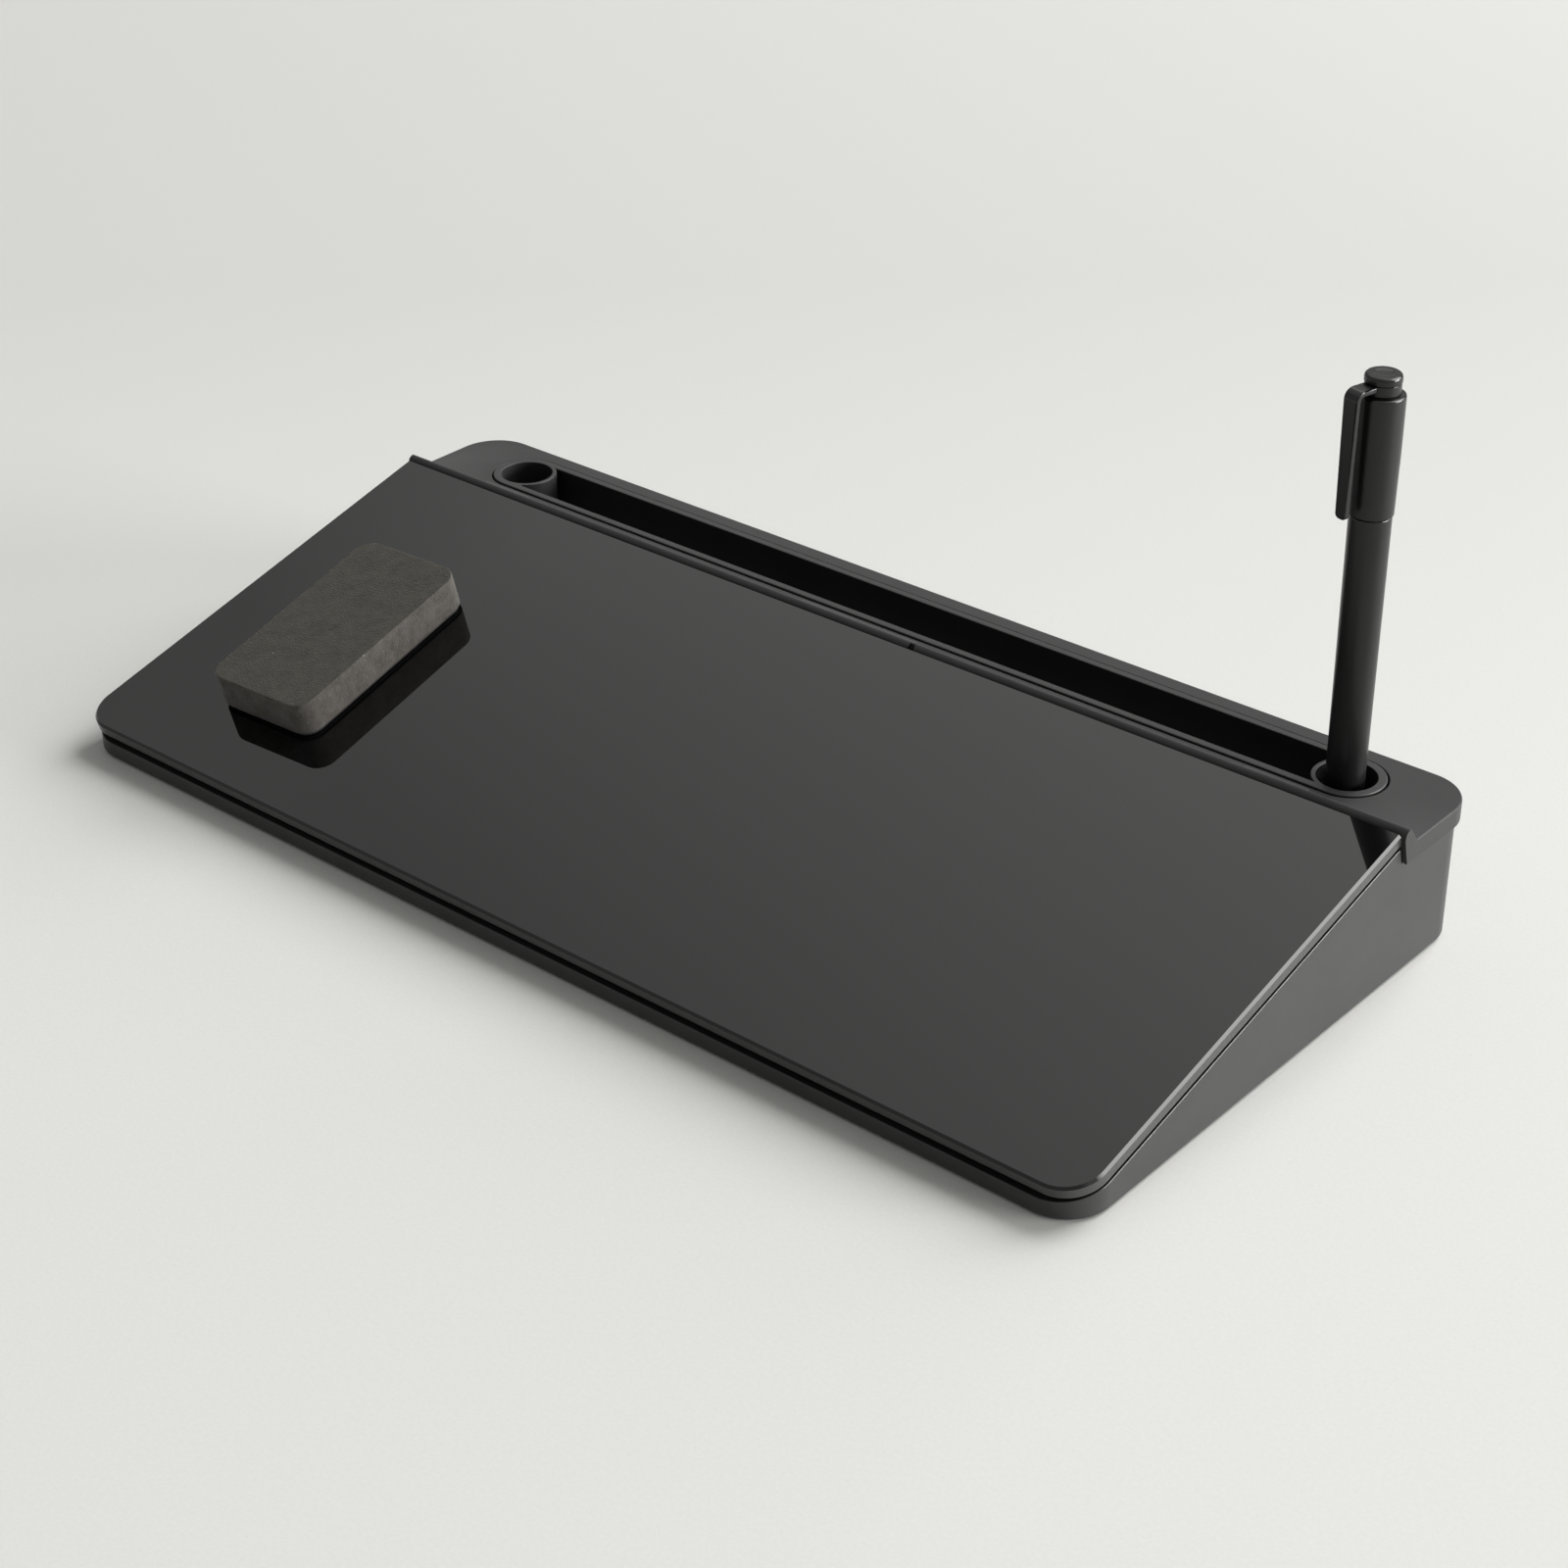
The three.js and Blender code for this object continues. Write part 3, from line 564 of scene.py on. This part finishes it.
def pen_place():
    """The pen's frame: its axis, from its tail up, turned as its clip points."""
    low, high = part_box("pen_end_plug")
    tail = Matrix.Translation(((low.x + high.x) / 2, (low.y + high.y) / 2, low.z))
    return tail @ Matrix.Rotation(CLIP_TURN, 4, "Z")


PEN = pen_place()


def turned(profile, steps=64):
    """A closed or axis-to-axis profile of radius and height, spun about Z."""
    bm = bmesh.new()
    verts = [bm.verts.new((radius, 0, height)) for radius, height in profile]
    edges = [bm.edges.new(pair) for pair in zip(verts, verts[1:])]
    if profile[0][0] and profile[-1][0]:
        edges.append(bm.edges.new((verts[-1], verts[0])))
    bmesh.ops.spin(
        bm, geom=verts + edges, cent=(0, 0, 0), axis=(0, 0, 1), angle=2 * math.pi, steps=steps,
        use_merge=True,
    )
    bmesh.ops.remove_doubles(bm, verts=bm.verts, dist=0.0001 * MM)
    bmesh.ops.recalc_face_normals(bm, faces=bm.faces)
    return bm


def ring_edges(bm, angle=30):
    """The level edges of a turned piece that fold sharply."""
    return [edge for edge in bm.edges if folded(edge, angle) and level_at(edge, edge.verts[0].co.z)]


def ring_at(bm, radius, height):
    """The ring of edges at one radius and height of a turned piece."""
    return [
        edge for edge in bm.edges
        if level_at(edge, height)
        and all(abs(vert.co.xy.length - radius) < TOUCHING for vert in edge.verts)
    ]


def finish_pen_piece(name, bm, body, node):
    """A piece of the pen whose rounded rims are polished and whose flanks and ends aren't."""
    least, most = POLISHED_LEAN
    dress_faces(bm, lambda face: 1 if least < abs(face.normal.z) < most else 0)
    finish_piece(name, bm, [pen_plastic, pen_edge], body, [node], 40, PEN)


def make_barrel():
    """The barrel, wider towards the cap, and the thinner front that the cap covers."""
    inner = PEN_TAIL_RADIUS - PEN_WALL
    front = PEN_BARREL_RADIUS - PEN_WALL
    front_inner = front - PEN_WALL
    shoulder = PEN_CAP_START - PEN_SEAM
    front_end = PEN_CAP_START + PEN_FRONT_REACH
    bm = turned([
        (inner, PEN_TUBE_START), (PEN_TAIL_RADIUS, PEN_TUBE_START),
        (PEN_TAIL_RADIUS, PEN_TAPER_START), (PEN_BARREL_RADIUS, shoulder),
        (front, shoulder), (front, front_end), (front_inner, front_end),
        (front_inner, PEN_CAP_START), (inner, PEN_CAP_START - PEN_FRONT_DEPTH),
    ])
    bevel(bm, ring_at(bm, PEN_BARREL_RADIUS, shoulder), PEN_SHOULDER_EASE, 4)
    bevel(bm, ring_edges(bm, 60), PEN_RIM_EASE, 2)
    finish_pen_piece("barrel_tube", bm, "pen", "pen_barrel")


def make_cap():
    """The cap with its neck, and the button on the neck with its shallow dish."""
    collar_top = PEN_TOTAL - BUTTON_HEIGHT - PEN_SEAM
    bore = CAP_MOUTH_RADIUS - CAP_WALL
    roof = PEN_SHOULDER - CAP_ROOF
    bm = turned([
        (0, roof), (bore - CAP_WALL, roof), (bore, roof - CAP_ROOF_SLANT), (bore, PEN_CAP_START),
        (CAP_MOUTH_RADIUS, PEN_CAP_START), (CAP_RADIUS, (PEN_CAP_START + PEN_SHOULDER) / 2),
        (CAP_RADIUS, PEN_SHOULDER), (CAP_NECK_RADIUS, PEN_SHOULDER),
        (CAP_NECK_RADIUS, collar_top), (0, collar_top),
    ])
    bevel(bm, ring_at(bm, CAP_RADIUS, PEN_SHOULDER), CAP_SHOULDER_EASE, 5)
    bevel(bm, ring_at(bm, CAP_MOUTH_RADIUS, PEN_CAP_START), CAP_MOUTH_EASE, 2)
    finish_pen_piece("cap_tube", bm, "pen_cap", "pen_cap")

    dish = BUTTON_RADIUS - BUTTON_RIM
    bm = turned([
        (0, collar_top), (BUTTON_RADIUS, collar_top), (BUTTON_RADIUS, PEN_TOTAL),
        (dish, PEN_TOTAL), (dish - BUTTON_DISH_SLANT, PEN_TOTAL - BUTTON_DISH),
        (0, PEN_TOTAL - BUTTON_DISH),
    ])
    bevel(bm, ring_at(bm, BUTTON_RADIUS, PEN_TOTAL), BUTTON_TOP_ROUND, 6)
    bevel(bm, ring_at(bm, BUTTON_RADIUS, collar_top), BUTTON_EASE, 3)
    bevel(bm, ring_at(bm, dish, PEN_TOTAL), BUTTON_EASE, 2)
    finish_pen_piece("cap_button", bm, "pen_cap", "pen_cap_button")


def only(kind, items):
    return [item for item in items if isinstance(item, kind)]


def extruded(bm, faces):
    """Draws faces out and returns their new ends: the vertices to move and the faces."""
    out = bmesh.ops.extrude_face_region(bm, geom=faces)["geom"]
    return only(bmesh.types.BMVert, out), only(bmesh.types.BMFace, out)


def make_clip():
    """The clip: a collar round the neck and an arm drawn out, bent down and carried to its tip."""
    bottom = PEN_SHOULDER + CLIP_SEAT_GAP
    top = PEN_TOTAL - BUTTON_HEIGHT - CLIP_BUTTON_GAP
    inner = CAP_NECK_RADIUS + CLIP_SEAT_GAP
    collar = turned([
        (inner, bottom), (CLIP_COLLAR_RADIUS, bottom), (CLIP_COLLAR_RADIUS, top), (inner, top),
    ])
    bevel(collar, ring_edges(collar), CLIP_COLLAR_EASE, 2)

    bm = bmesh.new()
    start = -CLIP_COLLAR_RADIUS + CLIP_ROOT
    turn_at = -CLIP_REACH + CLIP_BEND
    tip = PEN_CAP_START + CLIP_TIP
    root = (
        Matrix.Translation((0, start, top - CLIP_THICKNESS / 2))
        @ Matrix.Rotation(math.pi / 2, 4, "X")
        @ Matrix.Diagonal((CLIP_WIDTH, CLIP_THICKNESS, 1, 1))
    )
    bmesh.ops.create_grid(bm, x_segments=1, y_segments=1, size=0.5, matrix=root)
    moved, end = extruded(bm, bm.faces[:])
    bmesh.ops.translate(bm, vec=(0, turn_at - start, 0), verts=moved)
    spun = bmesh.ops.spin(
        bm, geom=end, cent=(0, turn_at, top - CLIP_BEND), axis=(1, 0, 0), angle=math.pi / 2,
        steps=8,
    )["geom_last"]
    moved, end = extruded(bm, only(bmesh.types.BMFace, spun))
    bmesh.ops.translate(bm, vec=(0, 0, tip - moved[0].co.z), verts=moved)
    bmesh.ops.scale(bm, vec=(CLIP_TAPER, 1, 1), verts=moved)
    bmesh.ops.recalc_face_normals(bm, faces=bm.faces)
    sides = [
        edge for edge in bm.edges
        if level_at(edge, tip) and abs(edge.verts[0].co.x - edge.verts[1].co.x) < TOUCHING
    ]
    bevel(bm, sides, CLIP_TIP_ROUND, 6)
    bevel(bm, [edge for edge in bm.edges if folded(edge, 50)], CLIP_EASE, 3)
    mesh = bpy.data.meshes.new("collar")
    collar.to_mesh(mesh)
    collar.free()
    bm.from_mesh(mesh)
    bpy.data.meshes.remove(mesh)
    finish_pen_piece("clip_arm", bm, "pen_cap", "pen_clip")


# CAD pieces that stay, by the start of their names. The longest start that fits counts

KEPT = {
    "foot_": rubber, "lid_bumper_": rubber, "cover_screw_": steel, "hinge_pin_": steel,
    "glass_tape": tape_foam, "pen_end_plug": pen_plastic, "pen_nib_holder": pen_plastic,
    "pen_ink_reservoir": pen_fibre, "pen_nib": pen_fibre,
}


def dress_kept_nodes():
    for name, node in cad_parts.items():
        starts = [start for start in KEPT if name.startswith(start)]
        if starts and not node.hide_render:
            node.data.materials.clear()
            node.data.materials.append(KEPT[max(starts, key=len)])


# Floor, light and camera


def make_floor():
    """A pale counter, with shade painted in to make it a little darker towards its far side."""
    look = Look("pale counter")
    look.set("Roughness", 0.6)
    look.set("Specular IOR Level", 0.2)
    near_side = look.between(
        look.along(look.place, FLOOR_FAR_SIDE), 1, 0, 0.0, FLOOR_DARKENS_OVER
    )
    speckled = look.mottled(look.noise(900, 3, 0.7), *FLOOR_SPECKLES)
    look.use(Base_Color=look.mix(near_side, FLOOR_FAR_PAINTED_SHADE, speckled))
    mesh = bpy.data.meshes.new("floor")
    bm = bmesh.new()
    bmesh.ops.create_grid(bm, x_segments=1, y_segments=1, size=FLOOR_SIZE)
    bm.to_mesh(mesh)
    bm.free()
    mesh.materials.append(look.material)
    floor = bpy.data.objects.new("floor", mesh)
    bpy.context.scene.collection.objects.link(floor)


def add_lamp(name, azimuth, elevation, width, height, power, mirrored=True):
    """A soft lamp facing the part. Azimuth is measured from +X towards +Y, in degrees."""
    turn, lift = math.radians(azimuth), math.radians(elevation)
    level = math.cos(lift)
    direction = Vector((math.cos(turn) * level, math.sin(turn) * level, math.sin(lift)))
    data = bpy.data.lights.new(name, "AREA")
    data.shape = "RECTANGLE"
    data.size, data.size_y = width, height
    data.energy = power
    lamp = bpy.data.objects.new(name, data)
    lamp.location = direction * LAMP_DISTANCE
    lamp.rotation_mode = "QUATERNION"
    lamp.rotation_quaternion = direction.to_track_quat("Z", "Y")
    lamp.visible_glossy = mirrored
    bpy.context.scene.collection.objects.link(lamp)


def make_world():
    """A pale room: dim as a light, with a bright sky and a window pane where surfaces mirror it."""
    world = bpy.data.worlds.new("room")
    bpy.context.scene.world = world
    world.use_nodes = True
    tree = Tree(world.node_tree)
    way = tree.nodes.new("ShaderNodeTexCoord").outputs["Generated"]
    parts = tree.nodes.new("ShaderNodeSeparateXYZ")
    tree.links.new(way, parts.inputs[0])
    side = tree.between(tree.along(way, BRIGHT_SIDE), *SIDE_STRENGTHS, *SIDE_SPAN)
    sky = tree.between(parts.outputs["Z"], *SKY_STRENGTHS, *SKY_SPAN)
    pane = tree.between(tree.along(way, PANE_DIRECTION), *PANE_STRENGTHS, *PANE_SPAN)
    mirrored = tree.joined("MAXIMUM", tree.joined("MULTIPLY", side, sky), pane)
    path = tree.nodes.new("ShaderNodeLightPath")
    strength = tree.nodes.new("ShaderNodeMix")
    strength.inputs["A"].default_value = ROOM_LIGHT
    tree.links.new(path.outputs["Is Glossy Ray"], strength.inputs["Factor"])
    tree.links.new(mirrored, strength.inputs["B"])
    background = tree.nodes["Background"]
    background.inputs["Color"].default_value = (*ROOM_TINT, 1)
    tree.links.new(strength.outputs["Result"], background.inputs["Strength"])
    bpy.context.scene.view_settings.view_transform = "Standard"


def make_camera():
    """The photograph's camera, aimed at the middle of the board."""
    level = math.cos(CAMERA_ELEVATION)
    back = Vector((
        math.sin(CAMERA_AZIMUTH) * level,
        -math.cos(CAMERA_AZIMUTH) * level,
        math.sin(CAMERA_ELEVATION),
    ))
    right = Vector((math.cos(CAMERA_AZIMUTH), math.sin(CAMERA_AZIMUTH), 0))
    up = back.cross(right)
    turn, lean = math.cos(CAMERA_ROLL), math.sin(CAMERA_ROLL)
    across = right * turn + up * lean
    upward = up * turn - right * lean
    place = Matrix((across, upward, back)).transposed().to_4x4()
    place.translation = CAMERA_AIM + back * CAMERA_DISTANCE
    data = bpy.data.cameras.new("camera")
    data.sensor_width = SENSOR_MM
    data.lens = FOCAL_PIXELS / IMAGE_PIXELS * SENSOR_MM
    data.clip_start, data.clip_end = 0.01, 50
    camera = bpy.data.objects.new("camera", data)
    camera.matrix_world = place
    bpy.context.scene.collection.objects.link(camera)
    bpy.context.scene.camera = camera


make_shell()
make_cover()
make_tray()
make_carrier()
make_glass()
make_eraser()
make_barrel()
make_cap()
make_clip()
dress_kept_nodes()
make_floor()
add_lamp("window", 78, 30, 4.6, 7.2, 720, mirrored=False)
add_lamp("side window", 25, 8, 3.6, 1.6, 480)
make_world()
make_camera()
